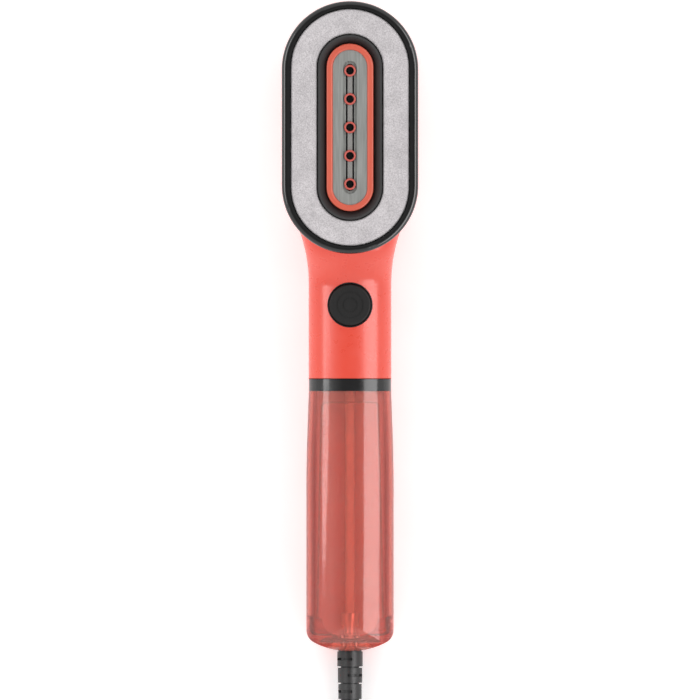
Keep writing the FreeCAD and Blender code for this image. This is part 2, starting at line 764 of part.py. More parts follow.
def nozzle_tips():
    """Five silicone nozzle rings along the slot."""
    for number in range(5):
        place = f"Dims.head_centre + {number - 2} * Dims.nozzle_pitch"
        made = round_body(f"nozzle_tip_{number + 1}", "Dims.plate_bottom + 0.6", "3.0",
                          "Dims.nozzle_diameter", "0", place, "Dims.nozzle_bore")
        fillet(made, 0.35, at_height(dim("plate_bottom") + 3.6))


def trim_ring():
    """The coloured ring round the steam plate."""
    made = stadium_ring("trim_ring", "Dims.plate_bottom", "Dims.trim_top - Dims.plate_bottom",
                        ("Dims.trim_width", "Dims.trim_length"),
                        ("Dims.trim_opening_width", "Dims.trim_opening_length"))
    fillet(made, 0.7, at_height(dim("trim_top")))


def screw_circles(made, diameter):
    """Six circles where the boiler's cover is screwed down."""
    for side in ("", "0 - "):
        for step in (-1, 0, 1):
            circle(made, diameter, side + "Dims.boiler_screw_reach",
                   f"Dims.head_centre + {step} * Dims.boiler_screw_pitch")


def boiler():
    """The steam boiler under the plate: a cast pot, its seal and its screwed cover."""
    outside = ("Dims.boiler_width", "Dims.boiler_length")
    inside = ("Dims.boiler_width - 2 * Dims.boiler_wall",
              "Dims.boiler_length - 2 * Dims.boiler_wall")
    pot = stadium_ring("boiler_body", "Dims.boiler_base",
                       "Dims.boiler_top - Dims.boiler_base", outside)
    hollow = sketch(pot, "Dims.boiler_top")
    stadium(hollow, *inside)
    pocket(pot, hollow, "Dims.boiler_top - Dims.boiler_base - 5")
    threads = sketch(pot, "Dims.boiler_top")
    screw_circles(threads, "2")
    pocket(pot, threads, "9.2")
    seal = stadium_ring("plate_gasket", "Dims.boiler_top", "0.8", outside, inside)
    passages = sketch(seal, "Dims.boiler_top + 0.8")
    screw_circles(passages, "2.1")
    pocket(seal, passages, "0.8")
    cover = stadium_ring("boiler_cover", "Dims.boiler_top + 0.8",
                         "Dims.plate_bottom - Dims.boiler_top - 0.8",
                         ("Dims.trim_width - 0.4", "Dims.trim_length - 0.4"))
    flange = sketch(cover, "Dims.boiler_top + 0.8")
    stadium(flange, *outside)
    pad(cover, flange, "1.6")
    steam_way = sketch(cover, "Dims.plate_bottom")
    stadium(steam_way, "Dims.slot_width", "Dims.slot_length")
    pocket(cover, steam_way, "Dims.plate_bottom - Dims.boiler_top - 0.8")
    clearance = sketch(cover, "Dims.boiler_top + 2.4")
    screw_circles(clearance, "2.1")
    pocket(cover, clearance, "1.6")
    screws = []
    for side in (-1, 1):
        for step in (-1, 0, 1):
            place = Vector(side * dim("boiler_screw_reach"),
                           dim("head_centre") + step * dim("boiler_screw_pitch"), 0)
            shank = Part.makeCylinder(1.0, 10.6, place + Vector(0, 0, 45.0))
            head = Part.makeCylinder(1.5, 1.2, place + Vector(0, 0, 55.6))
            screws.append(shank.fuse(head))
    piece("boiler_screws", Part.makeCompound(screws))


def boiler_heat():
    """The bent heating rod under the boiler, its thermostat and fuse, and the shield."""
    middle = dim("head_centre")
    level = dim("boiler_base") - 3.4
    bar = [(6.5, middle - 34.0, level), (6.5, middle + 26.0, level),
           (-6.5, middle + 26.0, level), (-6.5, middle - 34.0, level)]
    element, _, _ = tube(bar, 6.4, tightest=5.8)
    piece("heating_element", element)
    round_body("thermostat", "Dims.boiler_base - 5.5", "5.5", "6.0", "0",
               "Dims.head_centre - 8")
    box_body("thermal_fuse", "Dims.boiler_base - 4", "3.8", "3.6", "14",
             "0", "Dims.head_centre + 12")
    shield = stadium_ring("heat_shield", "Dims.boiler_base - 10", "0.8",
                          ("Dims.boiler_width + 10", "Dims.boiler_length"))
    hose_hole = sketch(shield, "Dims.boiler_base - 9.2")
    circle(hose_hole, "5.2", "0", "49")
    pocket(shield, hose_hole, "0.8")
    leads = []
    for side in (-1, 1):
        route = [(side * 5.0, 30.0, 22.6), (side * 6.0, 37.0, 26.5),
                 (side * 6.5, 43.0, level), (side * 6.5, middle - 34.0, level)]
        leads.append(tube(route, 1.9)[0])
    piece("heater_leads", Part.makeCompound(leads))


# ---------------------------------------------------------------- pad


def cloth_pad():
    """The push-on textile pad: a thin carrier frame with a soft cover over it."""
    stadium_ring("pad_frame", "Dims.pad_base - 2", "2",
                 ("Dims.pad_width - 1", "Dims.pad_length - 1"),
                 ("Dims.pad_hole_width + 1", "Dims.pad_hole_length + 1"))
    made = stadium_ring("pad_cloth", "Dims.pad_base", "Dims.pad_thickness",
                        ("Dims.pad_width", "Dims.pad_length"),
                        ("Dims.pad_hole_width", "Dims.pad_hole_length"))
    fillet(made, 1.6, at_height(dim("pad_base") + dim("pad_thickness")))


# ---------------------------------------------------------------- button and switch


def button():
    """The steam button with its spring, guide ring and the switch under it."""
    place = "Dims.button_centre"
    made = round_body("steam_button", "34.4", "2.2", "19.6", "0", place)
    cap = sketch(made, "36.6")
    circle(cap, "Dims.button_diameter", "0", place)
    pad(made, cap, "Dims.grip_height + 0.5 - 36.6")
    fillet(made, 0.7, at_height(dim("grip_height") + 0.5))
    stem = sketch(made, "31")
    circle(stem, "3.2", "0", place)
    pad(made, stem, "5")
    for radius in (3.1, 5.6):
        mark = sketch(made, "Dims.grip_height + 0.5")
        circle(mark, str(2 * radius), "0", place)
        circle(mark, str(2 * radius - 0.8), "0", place)
        pocket(made, mark, "0.25")
    round_body("button_gasket", "37.4", "2.2", "18.9", "0", place, "18.1")
    piece("button_spring", helix_spring(2.5, 0.5, 28.4, 6.0, 5, dim("button_centre")))
    switch = box_body("micro_switch", "21.6", "6.8", "12.8", "5.8", "0", place)
    slot = sketch(switch, "28.4")
    rectangle(slot, "3", "2", "0", place)
    pocket(switch, slot, "4.5")
    box_body("switch_plunger", "26.2", "4.7", "2.4", "1.4", "0", place)


# ---------------------------------------------------------------- pump and board


def pump():
    """The small solenoid pump, its axis along the grip."""
    level = 11.0

    def along_y(radius, start, length):
        return Part.makeCylinder(radius, length, Vector(0, start, level), Vector(0, 1, 0))

    outer = Part.makeBox(15.0, 26.0, 15.0, Vector(-7.5, 1.0, 3.5))
    window = Part.makeBox(16.0, 22.0, 13.0, Vector(-8.0, 3.0, 4.5))
    piece("pump_frame", outer.cut(window).cut(along_y(3.6, 0.0, 28.0)))
    piece("pump_coil", along_y(6.2, 3.2, 21.6).cut(along_y(3.6, 3.0, 22.0)))
    housing = along_y(3.5, -6.0, 40.0).cut(along_y(2.4, -3.0, 34.0))
    piece("pump_tube", housing.cut(along_y(1.0, -7.0, 42.0)))
    piece("pump_piston", along_y(2.1, 6.0, 18.0).cut(along_y(0.8, 5.0, 20.0)))
    rings = [along_y(5.4, start, 3.0).cut(along_y(3.5, start, 3.0)) for start in (-3.0, 28.0)]
    piece("pump_mounts", Part.makeCompound(rings))
    box_body("control_board", "20", "1.6", "15", "48", "0", "10")


def water_path():
    """The spigot in the deck and the two hoses, from tank to pump and pump to boiler."""
    place = dim("spigot_place")
    upright = Part.makeCylinder(1.6, 10.0, Vector(0, place, 4.0))
    collar = Part.makeCylinder(3.6, 1.1, Vector(0, place, 6.7))
    barb = Part.makeCylinder(1.6, -18.3 - place, Vector(0, place, 5.2), Vector(0, 1, 0))
    spigot = upright.fuse(collar).fuse(barb)
    drill = Part.makeCylinder(0.8, 11.0, Vector(0, place, 5.0))
    drill = drill.fuse(Part.makeCylinder(0.8, 8.0, Vector(0, place, 5.2), Vector(0, 1, 0)))
    piece("inlet_spigot", spigot.cut(drill))
    first = [(0, -18.3, 5.2), (0, -15.0, 5.2), (0, -10.5, 11.0), (0, -6.0, 11.0)]
    solid, _, _ = tube(first, 4.4, 2.0, tightest=6.0)
    piece("inlet_hose", solid)
    second = [(0, 34.0, 11.0), (0, 41.0, 11.0), (0, 46.5, 15.5), (0, 49.0, 22.0),
              (0, 49.0, 34.0)]
    solid, _, _ = tube(second, 4.4, 2.0)
    piece("outlet_hose", solid)


def wiring():
    """Live and neutral leads from the cord to the board, and the clamp on the cord."""
    for label, side in (("lead_live", -1), ("lead_neutral", 1)):
        route = [(side * 2.0, -119.5, 8.0), (side * 4.0, -112.0, 8.0), (side * 8.0, -98.0, 5.4),
                 (side * 10.5, -80.0, 5.2), (side * 9.8, -55.0, 5.3), (side * 8.6, -38.0, 5.2),
                 (side * 7.0, -23.0, 5.4), (side * 7.2, -15.5, 9.5), (side * 6.4, -12.0, 20.0)]
        solid, _, _ = tube(route, 1.9)
        piece(label, solid)
    clamp = Part.makeBox(18.0, 6.0, 3.6, Vector(-9.0, -125.0, 9.6))
    saddle = cord_bore(6.85, -126.0, 8.0)
    screws = Part.makeCompound([
        Part.makeCylinder(1.2, 9.0, Vector(side * CLAMP_REACH, CLAMP_PLACE, 3.0)).fuse(
            Part.makeCylinder(2.0, 1.2, Vector(side * CLAMP_REACH, CLAMP_PLACE, 12.0)))
        for side in (-1, 1)])
    piece("cord_clamp", clamp.cut(saddle).cut(screws))
    piece("clamp_screws", screws)


def housing_screws():
    """Screws from the back that hold the two shells together."""
    screws = []
    for x, y in SCREW_PLACES:
        shank = Part.makeCylinder(1.3, 24.0, Vector(x, y, 2.6))
        head = Part.makeCylinder(2.6, 1.7, Vector(x, y, 0.9))
        screws.append(shank.fuse(head))
    piece("housing_screws", Part.makeCompound(screws))


# ---------------------------------------------------------------- mains cord

HANK_TOP = -236.0
HANK_RUN = 59.0
HANK_TURN = 24.0
HANK_LAYERS = 3


def strain_relief():
    """The ribbed boot moulded on the cord, with a flange held in the handle's end."""
    start = -127.0
    end = dim("boot_end")
    radius = dim("boot_diameter") / 2
    level = dim("cord_height")

    def along_y(size, first, last):
        return Part.makeCylinder(size, abs(last - first), Vector(0, min(first, last), level),
                                 Vector(0, 1, 0))

    boot = along_y(radius - 0.5, -126.0, -137.2).fuse(along_y(3.4, -119.5, start))
    boot = boot.fuse(along_y(radius + 0.1, -126.0, -129.0))
    boot = boot.fuse(along_y(radius - 1.5, -137.0, end))
    pitch = 6.85
    for number in range(5):
        first = -136.6 - number * pitch
        size = radius - 0.22 * number
        ring = along_y(size, first, max(first - 6.3, end))
        notch_side = 1 if number % 2 else -1
        if number < 4:
            notch = Part.makeBox(2 * radius, 1.1, radius, Vector(-radius, first - 3.7, level))
            notch = notch.common(Part.makeBox(radius + 2.0, 3.0, 2 * radius, Vector(
                -1.0 if notch_side > 0 else -radius - 1.0, first - 4.5, level)))
            ring = ring.cut(notch.cut(along_y(radius - 1.5, first, first - 6.3)))
        boot = boot.fuse(ring)
    piece("strain_relief", boot.removeSplitter())


def racetrack(radius, height):
    """A solid of two half circles and straight sides, standing on the table."""
    low = HANK_TOP - HANK_RUN
    ends = [Part.makeCylinder(radius, height, Vector(0, y, 0)) for y in (HANK_TOP, low)]
    middle = Part.makeBox(2 * radius, HANK_RUN, height, Vector(-radius, low, 0))
    return middle.fuse(ends)


def cord_parts():
    """The mains cord: its free stretch, the tied hank of the rest and the tail to the plug."""
    size = dim("cord_diameter")
    floor = size / 2
    outer_line = HANK_TURN + floor
    height = HANK_LAYERS * size
    route = [(0.0, dim("boot_end"), dim("cord_height")),
             (0.0, dim("boot_end") - 15.5, 6.9),
             (-6.5, dim("boot_end") - 32.0, 4.6),
             (-18.0, dim("boot_end") - 48.0, 3.6),
             (-26.0, dim("boot_end") - 65.0, floor),
             (-outer_line, dim("boot_end") - 82.0, floor)]
    free, length, radii = tube(route, size)
    print("cord: free stretch", round(length, 1), "mm, radii",
          [round(radius, 1) for radius in radii])
    piece("power_cord", free)
    top = height - floor
    ends = [(-outer_line, -296.0, top), (-27.0, -310.0, top - 1.0), (-23.5, -326.0, 12.2),
            (-18.0, -341.0, 9.4), (-15.5, -353.0, PLUG_LEVEL)]
    tail, length, radii = tube(ends, size)
    print("cord: tail", round(length, 1), "mm, radii", [round(radius, 1) for radius in radii])
    piece("cord_tail", tail)
    hank = racetrack(HANK_TURN + size, height).cut(racetrack(HANK_TURN - size, height))
    half = HANK_TURN + size
    tie = Part.makeBox(2 * half + 2.0, 11.0, height + 1.0, Vector(-half - 1.0, -270.0, 0))
    tie = tie.cut(Part.makeBox(2 * half, 13.0, height - 0.9, Vector(-half, -271.0, 0.9)))
    piece("cord_coil", hank.cut(free).cut(tail).cut(tie).removeSplitter())
    piece("cord_tie", tie)
    plug(*ends[-1][:2])


PLUG_LEVEL = 9.0


def plug(across, back):
    """The moulded two-pin plug, lying flat past the hank, its pins pointing away."""

    def face(along, half_width, half_depth):
        points = [Vector(across + i * half_width, back - along, PLUG_LEVEL + j * half_depth)
                  for i, j in ((-0.55, -1), (0.55, -1), (1, 0), (0.55, 1), (-0.55, 1), (-1, 0))]
        return Part.makePolygon(points + points[:1])

    stations = ((0.0, 5.2, 5.2), (11.0, 8.0, 6.5), (21.0, 14.8, 9.0), (34.0, 15.4, 9.0))
    shape = Part.makeLoft([face(*station) for station in stations], True, True)
    piece("plug_body", shape)
    pins = [Part.makeCylinder(2.4, 19.0, Vector(across + side * 9.5, back - 34.0, PLUG_LEVEL),
                              Vector(0, -1, 0)) for side in (-1, 1)]
    piece("plug_pins", Part.makeCompound(pins))


document.recompute()
casing()
spine_cover()
tank()
tank_cap()
outlet_seal()
dip_parts()
filler()
head_bezel()
nose_collar()
trim_ring()
steam_plate()
nozzle_rail()
nozzle_tips()
boiler()
boiler_heat()
cloth_pad()
button()
pump()
water_path()
wiring()
housing_screws()
strain_relief()
cord_parts()

document.recompute()
os.makedirs("parts", exist_ok=True)
for made in document.Objects:
    if "Invalid" in made.State or "Error" in made.State:
        raise RuntimeError(made.Label + " failed: " + ", ".join(made.State))
for made in PIECES:
    shape = made.Shape
    if shape.isNull() or not shape.isValid():
        raise RuntimeError(made.Label + " has no valid shape")
for made in PIECES:
    made.Shape.exportStep(f"parts/{made.Label}.step")
print(len(PIECES), "pieces written")
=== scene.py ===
"""Looks of a handheld garment steamer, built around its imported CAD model."""

import math

import bpy
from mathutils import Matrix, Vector


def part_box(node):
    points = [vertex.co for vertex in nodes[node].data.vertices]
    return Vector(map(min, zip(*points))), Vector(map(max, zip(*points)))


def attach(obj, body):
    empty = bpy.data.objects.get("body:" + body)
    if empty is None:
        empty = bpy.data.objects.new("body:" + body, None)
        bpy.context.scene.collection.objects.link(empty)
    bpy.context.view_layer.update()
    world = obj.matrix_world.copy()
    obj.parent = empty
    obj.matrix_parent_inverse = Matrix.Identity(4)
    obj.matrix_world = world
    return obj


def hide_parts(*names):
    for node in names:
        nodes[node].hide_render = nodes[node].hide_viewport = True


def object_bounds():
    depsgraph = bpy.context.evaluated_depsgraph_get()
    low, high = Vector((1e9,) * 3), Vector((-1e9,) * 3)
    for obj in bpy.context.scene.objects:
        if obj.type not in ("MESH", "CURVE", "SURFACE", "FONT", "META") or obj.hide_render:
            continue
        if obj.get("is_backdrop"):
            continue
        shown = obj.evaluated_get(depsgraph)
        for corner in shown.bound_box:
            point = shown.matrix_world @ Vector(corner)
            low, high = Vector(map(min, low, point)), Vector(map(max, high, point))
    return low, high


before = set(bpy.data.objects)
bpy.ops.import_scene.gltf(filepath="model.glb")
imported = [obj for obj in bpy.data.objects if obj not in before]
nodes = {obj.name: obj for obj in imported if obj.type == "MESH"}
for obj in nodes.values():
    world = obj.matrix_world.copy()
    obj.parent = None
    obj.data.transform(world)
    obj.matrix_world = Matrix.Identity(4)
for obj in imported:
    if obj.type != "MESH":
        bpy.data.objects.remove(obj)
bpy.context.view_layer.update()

# ---------------------------------------------------------------- camera
# The steamer lies on its back and is looked at straight from above, its head at the top,
# from far enough away that the head and the low handle keep their true proportions.
view_target = Vector((0.0, -0.0098, 0.03))
camera_data = bpy.data.cameras.new("view_from_above")
camera_data.lens = 1000.0
camera_data.sensor_width = 36.0
camera = bpy.data.objects.new("view_from_above", camera_data)
bpy.context.scene.collection.objects.link(camera)
frame_width = 0.2937
camera_distance = frame_width * camera_data.lens / camera_data.sensor_width
camera.location = view_target + Vector((0.0, 0.0, camera_distance))
camera_data.clip_end = 20.0
bpy.context.scene.camera = camera


# ---------------------------------------------------------------- mains cord
# A black PVC-sheathed two-core lead, about 1.5 m long. It comes out of the handle's end,
# drops to the table and is folded into a tied hank, with its plug at the far end.


def colour(code):
    """Turns an sRGB hex code into the linear colour that a shader takes."""
    channels = [int(code[i:i + 2], 16) / 255 for i in (1, 3, 5)]
    linear = [c / 12.92 if c <= 0.04045 else ((c + 0.055) / 1.055) ** 2.4 for c in channels]
    return (*linear, 1.0)


def add_node(material, kind, settings=None, inputs=None, links=None):
    """Adds one shader node, sets its properties and sockets, and links its inputs."""
    tree = material.node_tree
    made = tree.nodes.new(kind)
    for name, setting in (settings or {}).items():
        setattr(made, name, setting)
    for name, number in (inputs or {}).items():
        made.inputs[name].default_value = number
    for name, source in (links or {}).items():
        tree.links.new(source, made.inputs[name])
    return made


def new_material(name, **inputs):
    """A material with one Principled shader, its sockets set by name."""
    material = bpy.data.materials.new(name)
    material.use_nodes = True
    shader = material.node_tree.nodes["Principled BSDF"]
    for socket, number in inputs.items():
        shader.inputs[socket.replace("_", " ")].default_value = number
    return material, shader


def dress(material, *names):
    """Gives CAD nodes a material."""
    for name in names:
        mesh = nodes[name].data
        mesh.materials.clear()
        mesh.materials.append(material)


cord_diameter = 0.0068
cord_radius = cord_diameter / 2
boot_end = -0.170
cord_exit = (0.0, boot_end, 0.008)
# The hank: where its near turns begin, how long its straight runs are, and how wide it turns.
hank_top = -0.236
hank_run = 0.059
hank_turn = 0.024
outer_line = hank_turn + cord_radius
inner_line = hank_turn - cord_radius

route = [
    cord_exit,
    (0.0, boot_end - 0.0155, 0.0069),
    (-0.0065, boot_end - 0.032, 0.0046),
    (-0.018, boot_end - 0.048, 0.0036),
    (-0.026, boot_end - 0.065, cord_radius),
]
# Six racetrack turns, two side by side in three layers; each starts down the left side, and
# the cord steps to the next place on its way round the far end.
turn_places = ((outer_line, 0), (inner_line, 0), (inner_line, 1), (outer_line, 1),
               (inner_line, 2), (outer_line, 2))
arc_points = 7
run_shares = (0.28, 0.72)
# Control points stand a little outside the arc that the smooth line then follows.
arc_swell = 1 / math.cos(math.pi / (2 * (arc_points - 1)))
for number, (radius, layer) in enumerate(turn_places):
    last = number == len(turn_places) - 1
    following, next_layer = turn_places[number + 1] if not last else (radius, layer)
    height = cord_radius + layer * cord_diameter
    rise = (next_layer - layer) * cord_diameter
    for share in run_shares:
        # The cord comes in from the boot half-way down the first run.
        if number or share > 0.5:
            route.append((-radius, hank_top - share * hank_run, height))
    if last:
        break
    for step in range(arc_points):
        angle = math.pi + math.pi * step / (arc_points - 1)
        route.append((radius * arc_swell * math.cos(angle),
                      hank_top - hank_run + radius * arc_swell * math.sin(angle), height))
    for share in reversed(run_shares):
        route.append((radius, hank_top - share * hank_run, height))
    for step in range(arc_points):
        share = step / (arc_points - 1)
        wide = radius + (following - radius) * max(0.0, 2 * share - 1)
        angle = math.pi * share
        route.append((wide * arc_swell * math.cos(angle),
                      hank_top + wide * arc_swell * math.sin(angle),
                      height + rise * min(1.0, 2 * share)))
# From the top layer the end drops back to the table and runs to the plug.
top_layer = cord_radius + 2 * cord_diameter
route += [
    (-outer_line, -0.296, top_layer),
    (-0.0270, -0.310, top_layer - 0.001),
    (-0.0235, -0.326, 0.0122),
    (-0.0180, -0.341, 0.0094),
    (-0.0155, -0.353, 0.009),
]


def route_curve(name, points, bevel):
    """A smooth NURBS curve that starts and ends on its first and last point."""
    data = bpy.data.curves.new(name, "CURVE")
    data.dimensions = "3D"
    data.resolution_u = 6
    # The points carry the radius, so that the curve's own box is as big as the cord.
    data.bevel_depth = 1.0 if bevel else 0.0
    data.bevel_resolution = 5
    data.use_fill_caps = True
    spline = data.splines.new("NURBS")
    spline.points.add(len(points) - 1)
    for place, point in zip(spline.points, points):
        place.co = (*point, 1.0)
        place.radius = bevel or 1.0
    spline.order_u = 3
    spline.use_endpoint_u = True
    made = bpy.data.objects.new(name, data)
    bpy.context.scene.collection.objects.link(made)
    return made


cord = route_curve("mains_cord", route, cord_radius)
# The same line, with no thickness, is also turned into a mesh.
measure = route_curve("cord_line", route, 0.0)
line = bpy.data.meshes.new_from_object(measure)
bpy.data.objects.remove(measure)
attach(cord, "housing")
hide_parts("power_cord", "cord_coil", "cord_tail")

# PVC sheath: soft black with a low, slightly greasy shine and a faint moulded grain.
sheath, shader = new_material("black_pvc_sheath", Base_Color=colour("#1d1c1d"), Roughness=0.42)
place = add_node(sheath, "ShaderNodeTexCoord")
grain = add_node(sheath, "ShaderNodeTexNoise", inputs={"Scale": 900.0, "Detail": 3.0},
                 links={"Vector": place.outputs["Object"]})
relief = add_node(sheath, "ShaderNodeBump", inputs={"Strength": 0.12, "Distance": 0.0002},
                  links={"Height": grain.outputs["Fac"]})
sheath.node_tree.links.new(relief.outputs["Normal"], shader.inputs["Normal"])
cord.data.materials.append(sheath)

# ---------------------------------------------------------------- boot, tie and plug
# The boot on the lead is soft PVC moulded in short rings, the tie is a rubber strap, and
# the plug is a solid PVC body with nickel-plated brass pins.


def moulded_skin(material, shader, grain, depth, shine, tones):
    """Moulded surface: slow change of tone and shine, and a fine relief, sized in metres."""
    links = material.node_tree.links
    place = add_node(material, "ShaderNodeTexCoord").outputs["Object"]
    drift = add_node(material, "ShaderNodeTexNoise", inputs={"Scale": 45.0, "Detail": 2.0},
                     links={"Vector": place}).outputs["Fac"]
    tone = add_node(material, "ShaderNodeValToRGB", links={"Fac": drift})
    for stop, code in zip(tone.color_ramp.elements, tones):
        stop.color = colour(code)
    tone.color_ramp.elements[0].position = 0.3
    tone.color_ramp.elements[1].position = 0.7
    links.new(tone.outputs["Color"], shader.inputs["Base Color"])
    grains = add_node(material, "ShaderNodeTexNoise", inputs={"Scale": 1 / grain, "Detail": 2.0},
                      links={"Vector": place}).outputs["Fac"]
    gloss = add_node(material, "ShaderNodeMapRange",
                     inputs={"From Min": 0.3, "From Max": 0.7, "To Min": shine[0],
                             "To Max": shine[1]}, links={"Value": grains})
    links.new(gloss.outputs["Result"], shader.inputs["Roughness"])
    relief = add_node(material, "ShaderNodeBump", inputs={"Strength": 1.0, "Distance": depth},
                      links={"Height": grains})
    links.new(relief.outputs["Normal"], shader.inputs["Normal"])


# Soft PVC: near black, a low waxy shine with a fine spark-eroded grain.
soft_pvc, shader = new_material("soft_black_pvc")
moulded_skin(soft_pvc, shader, grain=0.0006, depth=0.00003, shine=(0.34, 0.48),
             tones=("#171617", "#262526"))
dress(soft_pvc, "strain_relief", "plug_body")

# Silicone rubber: black, matt, with a little dust-like variation.
rubber, shader = new_material("black_silicone_rubber")
moulded_skin(rubber, shader, grain=0.0009, depth=0.00002, shine=(0.55, 0.7),
             tones=("#1b1a1b", "#242324"))
dress(rubber, "cord_tie", "button_gasket", "outlet_seal", "pump_mounts")

# Nickel-plated brass: warm white metal with drawing lines along the pins.
nickel, shader = new_material("nickel_plated_brass", Metallic=1.0)
moulded_skin(nickel, shader, grain=0.0012, depth=0.000008, shine=(0.16, 0.3),
             tones=("#cfc6a8", "#dcd5bd"))
dress(nickel, "plug_pins")

# ---------------------------------------------------------------- casing
# The back and front shells and the cover under the tank are injection-moulded coral ABS,
# polished in the tool and screwed together along the sides.

# Polished ABS: even coral with a faint orange-peel ripple about 3 mm long.
coral, shader = new_material("coral_abs")
shader.inputs["Coat Weight"].default_value = 0.25
shader.inputs["Coat Roughness"].default_value = 0.14
moulded_skin(coral, shader, grain=0.003, depth=0.000004, shine=(0.26, 0.34),
             tones=("#e64733", "#eb4e3a"))
dress(coral, "rear_shell", "front_shell", "spine_cover")

# The same ABS in a brighter, unpolished ring that glows against the dark nose.
ring_abs, shader = new_material("bright_coral_abs")
moulded_skin(ring_abs, shader, grain=0.0008, depth=0.00001, shine=(0.34, 0.44),
             tones=("#cf543c", "#d45b43"))
dress(ring_abs, "trim_ring")

# ---------------------------------------------------------------- head rim and band
# The rim round the head and the band above the tank are glossy black ABS, snapped on after
# the shells are closed.
gloss_black, shader = new_material("glossy_black_abs")
shader.inputs["Coat Weight"].default_value = 0.2
shader.inputs["Coat Roughness"].default_value = 0.03
moulded_skin(gloss_black, shader, grain=0.0035, depth=0.000006, shine=(0.14, 0.22),
             tones=("#080708", "#0e0d0e"))
dress(gloss_black, "head_bezel", "tank_cap")

# ---------------------------------------------------------------- nose and pad frame
# The nose round the plate and the frame that carries the pad are glass-filled nylon, which
# stands the heat; its skin is matt and slightly speckled.
nylon, shader = new_material("black_glass_filled_nylon")
moulded_skin(nylon, shader, grain=0.0005, depth=0.00002, shine=(0.42, 0.58),
             tones=("#151314", "#1f1d1e"))
dress(nylon, "nose_collar", "pad_frame", "micro_switch")

# ---------------------------------------------------------------- steam plate and rail
# The plate is pressed stainless steel with a bead-blasted, lightly brushed face. The rail
# in its slot is the same steel, polished; its material comes with the nozzles' bores.


def brushed_metal(material, shader, tones, shine, line, depth):
    """Brush lines along the object, their width and depth in metres."""
    links = material.node_tree.links
    place = add_node(material, "ShaderNodeTexCoord").outputs["Object"]
    stretch = 25
    stretched = add_node(material, "ShaderNodeMapping",
                         inputs={"Scale": (1.0, 1 / stretch, 1.0)}, links={"Vector": place})
    lines = add_node(material, "ShaderNodeTexNoise", inputs={"Scale": 1 / line, "Detail": 5.0},
                     links={"Vector": stretched.outputs["Vector"]}).outputs["Fac"]
    tone = add_node(material, "ShaderNodeValToRGB", links={"Fac": lines})
    for stop, code in zip(tone.color_ramp.elements, tones):
        stop.color = colour(code)
    tone.color_ramp.elements[0].position = 0.3
    tone.color_ramp.elements[1].position = 0.7
    links.new(tone.outputs["Color"], shader.inputs["Base Color"])
    gloss = add_node(material, "ShaderNodeMapRange",
                     inputs={"To Min": shine[0], "To Max": shine[1]}, links={"Value": lines})
    links.new(gloss.outputs["Result"], shader.inputs["Roughness"])
    relief = add_node(material, "ShaderNodeBump", inputs={"Strength": 1.0, "Distance": depth},
                      links={"Height": lines})
    links.new(relief.outputs["Normal"], shader.inputs["Normal"])


plate_steel, shader = new_material("blasted_stainless_steel", Metallic=0.6)
brushed_metal(plate_steel, shader, tones=("#787976", "#8b8c89"), shine=(0.42, 0.58),
              line=0.0006, depth=0.000006)
dress(plate_steel, "steam_plate")

# ---------------------------------------------------------------- steam nozzles
# Five silicone tips in the plate's slot, coral pink round a dark bore that leads down to
# the steam chamber; the rail joins them.
tips = [f"nozzle_tip_{number}" for number in range(1, 6)]
tip_places = []
for tip in tips:
    low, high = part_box(tip)
    tip_places.append((low[1] + high[1]) / 2)
tip_pitch = abs(tip_places[1] - tip_places[0])
# The colour sockets of a Mix node: its first and second input, and its result.
colour_a, colour_b, mixed_colour = 6, 7, 2


def paint_bore_shade(material, shader, bore, light, dark):
    """Paints shade into each steam bore: a dark circle round each nozzle's axis, standing in for
    the shadow inside the bore.
    """
    links = material.node_tree.links
    place = add_node(material, "ShaderNodeTexCoord").outputs["Object"]
    axes = add_node(material, "ShaderNodeSeparateXYZ", links={"Vector": place})
    # The place along the object repeats from nozzle to nozzle, with each axis at zero.
    along = add_node(material, "ShaderNodeMath", {"operation": "SUBTRACT"},
                     {1: min(tip_places) - tip_pitch / 2}, {0: axes.outputs["Y"]})
    wrapped = add_node(material, "ShaderNodeMath", {"operation": "FLOORED_MODULO"},
                       {1: tip_pitch}, {0: along.outputs["Value"]})
    centred = add_node(material, "ShaderNodeMath", {"operation": "SUBTRACT"},
                       {1: tip_pitch / 2}, {0: wrapped.outputs["Value"]})
    flat = add_node(material, "ShaderNodeCombineXYZ",
                    links={"X": axes.outputs["X"], "Y": centred.outputs["Value"]})
    reach = add_node(material, "ShaderNodeVectorMath", {"operation": "LENGTH"},
                     links={0: flat.outputs["Vector"]})
    soft_edge = 0.0001
    edge = add_node(material, "ShaderNodeMapRange",
                    inputs={"From Min": bore - soft_edge, "From Max": bore + soft_edge},
                    links={"Value": reach.outputs["Value"]})
    grain = add_node(material, "ShaderNodeTexNoise", inputs={"Scale": 1500.0, "Detail": 3.0},
                     links={"Vector": place})
    ramp = add_node(material, "ShaderNodeValToRGB", links={"Fac": grain.outputs["Fac"]})
    for stop, code in zip(ramp.color_ramp.elements, light):
        stop.color = colour(code)
    # The dark colour inside each circle is painted shade, not a colour of the part.
    mixed = add_node(material, "ShaderNodeMix", {"data_type": "RGBA"},
                     {colour_a: colour(dark)},
                     {0: edge.outputs["Result"], colour_b: ramp.outputs["Color"]})
    links.new(mixed.outputs[mixed_colour], shader.inputs["Base Color"])
    relief = add_node(material, "ShaderNodeBump", inputs={"Strength": 0.3, "Distance": 0.00003},
                      links={"Height": grain.outputs["Fac"]})
    links.new(relief.outputs["Normal"], shader.inputs["Normal"])


# Silicone: satin coral pink, its bore blackened with painted shade.
tip_silicone, shader = new_material("coral_silicone", Roughness=0.45)
paint_bore_shade(tip_silicone, shader, bore=0.00165, light=("#b8453a", "#c9574a"), dark="#0c0505")
dress(tip_silicone, *tips)
# Polished rail: bright steel between the tips, with painted shade under each bore.
rail_steel, shader = new_material("polished_rail_steel", Metallic=0.5, Roughness=0.38)
paint_bore_shade(rail_steel, shader, bore=0.0018, light=("#84827f", "#989693"), dark="#050404")
dress(rail_steel, "nozzle_rail")

